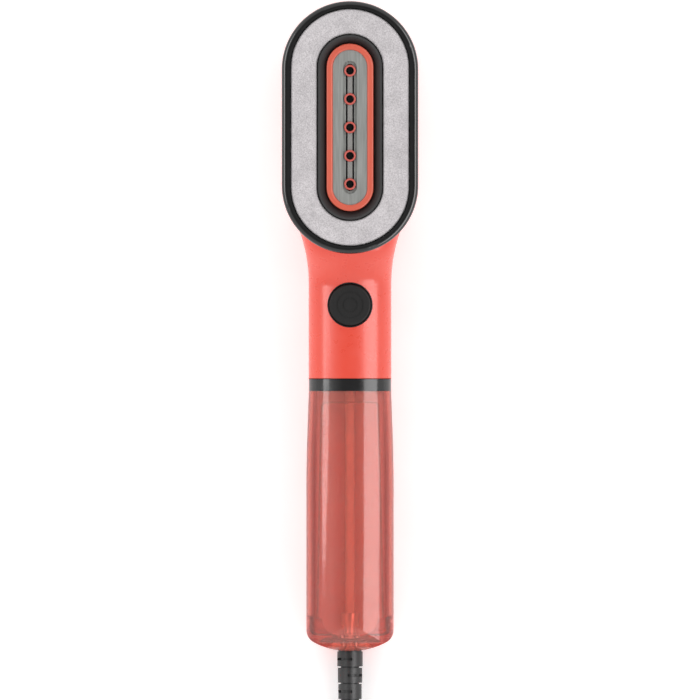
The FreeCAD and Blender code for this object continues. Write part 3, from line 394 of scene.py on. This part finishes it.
# ---------------------------------------------------------------- textile pad
# A removable pad of foam under a light grey felted cloth, stretched over its frame. It is
# cut as an oval ring, and its edges are rolled under and clipped in the frame's groove.
pad_low, pad_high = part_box("pad_cloth")
pad_centre = (pad_low[1] + pad_high[1]) / 2
pad_outer = pad_high[0]
pad_half_length = pad_high[1] - pad_centre
pad_inner = 0.0137
pad_top = pad_high[2]
pad_base = pad_low[2]
# The pad's section from its outer foot, over the crown, to its inner foot: share of the way
# in from the outer edge, and depth below the crown.
pad_foot = pad_base - pad_top + 0.0001
pad_section = ((0.035, pad_foot), (0.0, -0.0034), (0.012, -0.0015), (0.06, -0.00045),
               (0.17, -0.0001), (0.34, 0.0), (0.5, 0.00005), (0.66, 0.0), (0.83, -0.0001),
               (0.94, -0.00045), (0.988, -0.0015), (1.0, -0.0034), (0.965, pad_foot))
# The opening is a little longer for its width than the outline is.
opening_stretch = 0.0004


def select_only(piece, wanted):
    """Opens a piece for editing with only the wanted vertices selected."""
    bpy.ops.object.mode_set(mode="EDIT")
    bpy.ops.mesh.select_all(action="DESELECT")
    bpy.ops.object.mode_set(mode="OBJECT")
    for vertex in piece.data.vertices:
        vertex.select = wanted(vertex)
    bpy.ops.object.mode_set(mode="EDIT")


bpy.ops.object.select_all(action="DESELECT")
pad_loops = []
for share, depth in pad_section:
    radius = pad_outer - share * (pad_outer - pad_inner)
    straight = pad_half_length - pad_outer + share * opening_stretch
    bpy.ops.mesh.primitive_circle_add(vertices=98, radius=radius,
                                      location=(0, pad_centre, pad_top + depth))
    loop = bpy.context.object
    bpy.ops.object.transform_apply(location=True)
    for side in (1, -1):
        select_only(loop, lambda vertex: side * (vertex.co.y - pad_centre) > 0)
        bpy.ops.transform.translate(value=(0, side * straight, 0))
        bpy.ops.object.mode_set(mode="OBJECT")
    # The two straight runs get as fine an edge as the ends.
    run_ends = set()
    for edge in loop.data.edges:
        a, b = (loop.data.vertices[i].co for i in edge.vertices)
        if (a - b).length > straight:
            run_ends.update(edge.vertices)
    select_only(loop, lambda vertex: vertex.index in run_ends)
    bpy.ops.mesh.select_mode(type="EDGE")
    bpy.ops.mesh.subdivide(number_cuts=24)
    bpy.ops.mesh.select_mode(type="VERT")
    bpy.ops.object.mode_set(mode="OBJECT")
    pad_loops.append(loop)
bpy.ops.object.select_all(action="DESELECT")
for loop in pad_loops:
    loop.select_set(True)
bpy.context.view_layer.objects.active = pad_loops[0]
bpy.ops.object.join()
pad = bpy.context.object
pad.name = "felt_pad"
loop_size = len(pad.data.vertices) // len(pad_section)
for number in range(len(pad_section)):
    pair = (number, (number + 1) % len(pad_section))
    select_only(pad, lambda vertex: vertex.index // loop_size in pair)
    bpy.ops.mesh.bridge_edge_loops()
    bpy.ops.object.mode_set(mode="OBJECT")
bpy.ops.object.mode_set(mode="EDIT")
bpy.ops.mesh.select_all(action="SELECT")
bpy.ops.mesh.normals_make_consistent(inside=False)
bpy.ops.object.mode_set(mode="OBJECT")
bpy.ops.object.shade_smooth()
finer = pad.modifiers.new("finer", "SUBSURF")
finer.levels = finer.render_levels = 2
nap_texture = bpy.data.textures.new("felt_nap", "CLOUDS")
nap_texture.noise_scale = 0.0009
nap_texture.noise_depth = 3
nap = pad.modifiers.new("nap", "DISPLACE")
nap.texture = nap_texture
nap.texture_coords = "LOCAL"
nap.strength = 0.00022
nap.mid_level = 0.6
for name in ("finer", "nap"):
    bpy.ops.object.modifier_apply(modifier=name)
bpy.ops.object.transform_apply(location=True, rotation=True, scale=True)
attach(pad, "pad")
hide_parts("pad_cloth")

# Felted microfibre: matted fibres about 0.4 mm across give a fine salt-and-pepper speckle,
# drawn as coarse as it needs to show, over slow cloudy tone.
felt, shader = new_material("felted_microfibre", Roughness=0.95)
shader.inputs["Sheen Weight"].default_value = 0.35
shader.inputs["Sheen Roughness"].default_value = 0.4
shader.inputs["Specular IOR Level"].default_value = 0.15
place = add_node(felt, "ShaderNodeTexCoord").outputs["Object"]
fibres = add_node(felt, "ShaderNodeTexNoise", inputs={"Scale": 2200.0, "Detail": 6.0},
                  links={"Vector": place}).outputs["Fac"]
tufts = add_node(felt, "ShaderNodeTexVoronoi", inputs={"Scale": 1500.0},
                 links={"Vector": place}).outputs["Distance"]
clouds = add_node(felt, "ShaderNodeTexNoise", inputs={"Scale": 160.0, "Detail": 3.0},
                  links={"Vector": place}).outputs["Fac"]
speckle = add_node(felt, "ShaderNodeValToRGB", links={"Fac": fibres})
speckle.color_ramp.elements[0].position = 0.36
speckle.color_ramp.elements[0].color = colour("#bdb8ba")
speckle.color_ramp.elements[1].position = 0.66
speckle.color_ramp.elements[1].color = colour("#e1dcde")
tone = add_node(felt, "ShaderNodeValToRGB", links={"Fac": clouds})
tone.color_ramp.elements[0].position = 0.3
tone.color_ramp.elements[0].color = colour("#ededed")
tone.color_ramp.elements[1].position = 0.7
tone.color_ramp.elements[1].color = colour("#ffffff")
blend = add_node(felt, "ShaderNodeMix", {"data_type": "RGBA", "blend_type": "MULTIPLY"},
                 {0: 1.0}, {colour_a: speckle.outputs["Color"], colour_b: tone.outputs["Color"]})
felt.node_tree.links.new(blend.outputs[mixed_colour], shader.inputs["Base Color"])
height = add_node(felt, "ShaderNodeMath", {"operation": "ADD"}, links={0: fibres, 1: tufts})
relief = add_node(felt, "ShaderNodeBump", inputs={"Strength": 0.8, "Distance": 0.00025},
                  links={"Height": height.outputs["Value"]})
felt.node_tree.links.new(relief.outputs["Normal"], shader.inputs["Normal"])
pad.data.materials.append(felt)

# ---------------------------------------------------------------- steam button
# A round thumb button, moulded in soft-touch black ABS with two fine rings as its mark. It
# is pushed in against a spring for as long as steam is wanted.
touch, shader = new_material("soft_touch_black_abs")
shader.inputs["Specular IOR Level"].default_value = 0.25
moulded_skin(touch, shader, grain=0.0007, depth=0.00002, shine=(0.5, 0.62),
             tones=("#0c0b0b", "#131211"))
dress(touch, "steam_button")

# ---------------------------------------------------------------- water tank
# The tank is blown in clear coral copolyester, its back wall welded on, so the cover and
# the dip tube show through it.

# Clear tinted copolyester: nearly clear, tinted coral, its faces polished and a little wavy.
clear, shader = new_material("clear_coral_copolyester", IOR=1.5, Transmission_Weight=0.84)
moulded_skin(clear, shader, grain=0.004, depth=0.00001, shine=(0.06, 0.12),
             tones=("#ffa291", "#ffaa9a"))
# Painted shade: the side walls are seen on edge, so their tint is painted deeper from 13 to 15
# mm off the middle.
links = clear.node_tree.links
tint = shader.inputs["Base Color"].links[0].from_socket
place = add_node(clear, "ShaderNodeTexCoord").outputs["Object"]
axes = add_node(clear, "ShaderNodeSeparateXYZ", links={"Vector": place})
off_middle = add_node(clear, "ShaderNodeMath", {"operation": "ABSOLUTE"},
                      links={0: axes.outputs["X"]})
depth = add_node(clear, "ShaderNodeMapRange",
                 inputs={"From Min": 0.0132, "From Max": 0.0152},
                 links={"Value": off_middle.outputs["Value"]})
painted_edge_shade = add_node(clear, "ShaderNodeMix", {"data_type": "RGBA", "blend_type": "MULTIPLY"},
                  {colour_b: colour("#d9a59c")}, {0: depth.outputs["Result"], colour_a: tint})
links.new(painted_edge_shade.outputs[mixed_colour], shader.inputs["Base Color"])
dress(clear, "tank_shell", "tank_back")

# The reservoir's own wall, a thin coral rib moulded inside the tank's front, narrower at the
# top; it is coloured a dark painted shade, so it shows as a fine dark outline through the clear
# front.
bpy.ops.object.select_all(action="DESELECT")
rib_top, rib_bottom, rib_front = -0.0314, -0.1296, 0.0315
rib_middle = (rib_top + rib_bottom) / 2
rib_width, rib_narrowing, rib_corner = 0.0284, 0.865, 0.0026
rib_line, rib_depth = 0.0008, 0.0035
bpy.ops.mesh.primitive_plane_add(size=1.0, location=(0, 0, rib_front))
rib = bpy.context.object
rib.name = "reservoir_rib"
bpy.ops.transform.resize(value=(rib_width, rib_top - rib_bottom, 1.0))
bpy.ops.transform.translate(value=(0, rib_middle, 0))
bpy.ops.object.transform_apply(location=True, rotation=True, scale=True)
select_only(rib, lambda vertex: vertex.co.y > rib_middle)
bpy.ops.transform.resize(value=(rib_narrowing, 1.0, 1.0))
bpy.ops.mesh.select_all(action="SELECT")
bpy.ops.mesh.bevel(offset=rib_corner, segments=6, affect="VERTICES")
bpy.ops.mesh.select_all(action="SELECT")
bpy.ops.mesh.inset(thickness=rib_line)
bpy.ops.mesh.delete(type="FACE")
bpy.ops.mesh.select_all(action="SELECT")
bpy.ops.object.mode_set(mode="OBJECT")
wall = rib.modifiers.new("wall", "SOLIDIFY")
wall.thickness = rib_depth
wall.offset = -1.0
bpy.ops.object.modifier_apply(modifier="wall")
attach(rib, "tank")
# The rib's clear coral seen edge-on looks deep red-brown, so that look is given to it as opaque
# painted shade, with a soft shine.
rib_plastic, shader = new_material("painted_shade_coral_copolyester", IOR=1.5)
moulded_skin(rib_plastic, shader, grain=0.002, depth=0.00001, shine=(0.2, 0.3),
             tones=("#6a3027", "#7a3a30"))
rib.data.materials.append(rib_plastic)

# Silicone tube and plugs: cloudy white, soft shine.
silicone, shader = new_material("translucent_silicone", IOR=1.41, Transmission_Weight=0.35)
moulded_skin(silicone, shader, grain=0.0015, depth=0.00001, shine=(0.3, 0.42),
             tones=("#e9dcd6", "#f2e8e3"))
dress(silicone, "dip_tube", "filler_plug", "plate_gasket", "heater_leads", "inlet_hose",
      "outlet_hose", "lead_live", "lead_neutral")

# ---------------------------------------------------------------- boiler
# The boiler is die-cast aluminium in two halves, with a heating element cast in, screws, a
# thermostat and a pressed shield of stainless steel behind it.
cast, shader = new_material("die_cast_aluminium", Metallic=0.85)
moulded_skin(cast, shader, grain=0.0011, depth=0.00006, shine=(0.45, 0.62),
             tones=("#8c8d8e", "#a5a6a7"))
dress(cast, "boiler_body", "boiler_cover")
steel, shader = new_material("rolled_stainless_steel", Metallic=0.95)
brushed_metal(steel, shader, tones=("#a9abad", "#c3c5c7"), shine=(0.25, 0.4),
              line=0.0005, depth=0.000006)
dress(steel, "boiler_screws", "heating_element", "thermostat", "heat_shield", "button_spring",
      "pump_frame", "pump_piston", "clamp_screws", "housing_screws", "dip_weight")

# ---------------------------------------------------------------- pump, switch and board
# Inside the grip are a solenoid pump wound in enamelled copper, natural nylon fittings and
# a small control board in green solder mask.
natural, shader = new_material("natural_nylon")
moulded_skin(natural, shader, grain=0.0007, depth=0.00002, shine=(0.4, 0.55),
             tones=("#dcd8cd", "#e8e4da"))
dress(natural, "thermal_fuse", "switch_plunger", "pump_tube", "inlet_spigot", "cord_clamp")

# Enamelled copper: orange-brown turns about 0.4 mm apart round the coil's axis.
copper, shader = new_material("enamelled_copper", Metallic=0.9, Roughness=0.32)
place = add_node(copper, "ShaderNodeTexCoord").outputs["Object"]
turns = add_node(copper, "ShaderNodeTexWave", {"bands_direction": "Y"},
                 inputs={"Scale": 780.0, "Distortion": 0.4}, links={"Vector": place})
ramp = add_node(copper, "ShaderNodeValToRGB", links={"Fac": turns.outputs["Fac"]})
ramp.color_ramp.elements[0].color = colour("#7a3a1c")
ramp.color_ramp.elements[1].color = colour("#c8743c")
copper.node_tree.links.new(ramp.outputs["Color"], shader.inputs["Base Color"])
relief = add_node(copper, "ShaderNodeBump", inputs={"Strength": 0.8, "Distance": 0.00015},
                  links={"Height": turns.outputs["Fac"]})
copper.node_tree.links.new(relief.outputs["Normal"], shader.inputs["Normal"])
dress(copper, "pump_coil")

# Solder mask: green gloss, lighter where tracks under 1 mm wide run beneath it.
board, shader = new_material("green_solder_mask", Roughness=0.3)
place = add_node(board, "ShaderNodeTexCoord").outputs["Object"]
tracks = add_node(board, "ShaderNodeTexBrick",
                  inputs={"Scale": 160.0, "Mortar Size": 0.06, "Mortar": colour("#2e7d4a"),
                          "Color1": colour("#0f4a2a"), "Color2": colour("#0c4026")},
                  links={"Vector": place})
board.node_tree.links.new(tracks.outputs["Color"], shader.inputs["Base Color"])
relief = add_node(board, "ShaderNodeBump", inputs={"Strength": 0.5, "Distance": 0.00006},
                  links={"Height": tracks.outputs["Fac"]})
board.node_tree.links.new(relief.outputs["Normal"], shader.inputs["Normal"])
dress(board, "control_board")

# ---------------------------------------------------------------- table and light
# A plain white table under even, soft studio light: bright all round the horizon, darker
# overhead, with a strip light on each side for the long highlights.
bpy.ops.object.select_all(action="DESELECT")
bpy.ops.mesh.primitive_plane_add(size=8.0, location=(0, 0, -0.0002))
floor = bpy.context.object
floor.name = "white_table"
floor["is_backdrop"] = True
# Matt laminate: white with a faint mottle.
table, shader = new_material("white_laminate")
moulded_skin(table, shader, grain=0.002, depth=0.000001, shine=(0.85, 0.95),
             tones=("#fbfbfb", "#ffffff"))
shader.inputs["Emission Color"].default_value = (1.0, 1.0, 1.0, 1.0)
shader.inputs["Emission Strength"].default_value = 0.3
floor.data.materials.append(table)

studio = bpy.data.worlds.new("studio")
studio.use_nodes = True
background = studio.node_tree.nodes["Background"]
place = add_node(studio, "ShaderNodeTexCoord")
axes = add_node(studio, "ShaderNodeSeparateXYZ", links={"Vector": place.outputs["Generated"]})
sky = add_node(studio, "ShaderNodeValToRGB", links={"Fac": axes.outputs["Z"]})
sky.color_ramp.elements[0].position = 0.86
sky.color_ramp.elements[0].color = (1.0, 1.0, 1.0, 1.0)
sky.color_ramp.elements[1].position = 0.97
sky.color_ramp.elements[1].color = (0.3, 0.3, 0.3, 1.0)
studio.node_tree.links.new(sky.outputs["Color"], background.inputs["Color"])
background.inputs["Strength"].default_value = 1.2
bpy.context.scene.world = studio


def strip_light(name, place, aim, size, power):
    """An oval studio light aimed at a point."""
    data = bpy.data.lights.new(name, "AREA")
    data.shape = "ELLIPSE"
    data.size, data.size_y = size
    data.energy = power
    lamp = bpy.data.objects.new(name, data)
    bpy.context.scene.collection.objects.link(lamp)
    lamp.location = place
    lamp.rotation_euler = (Vector(aim) - Vector(place)).to_track_quat("-Z", "Y").to_euler()
    # The strips only draw highlights, so they leave the even light of the studio alone.
    lamp.visible_diffuse = False


# The short left strip reaches the tank's upper half, the long right one its whole side.
strip_light("left_strip", place=(-0.5, 0.172, 0.56), aim=(0, 0.172, 0.03),
            size=(0.56, 0.32), power=2.0)
strip_light("right_strip", place=(0.455, -0.15, 0.6), aim=(0, -0.15, 0.03),
            size=(1.4, 0.42), power=6.2)
bpy.context.scene.view_settings.view_transform = "Standard"

# The overall size of the finished model.
low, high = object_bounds()
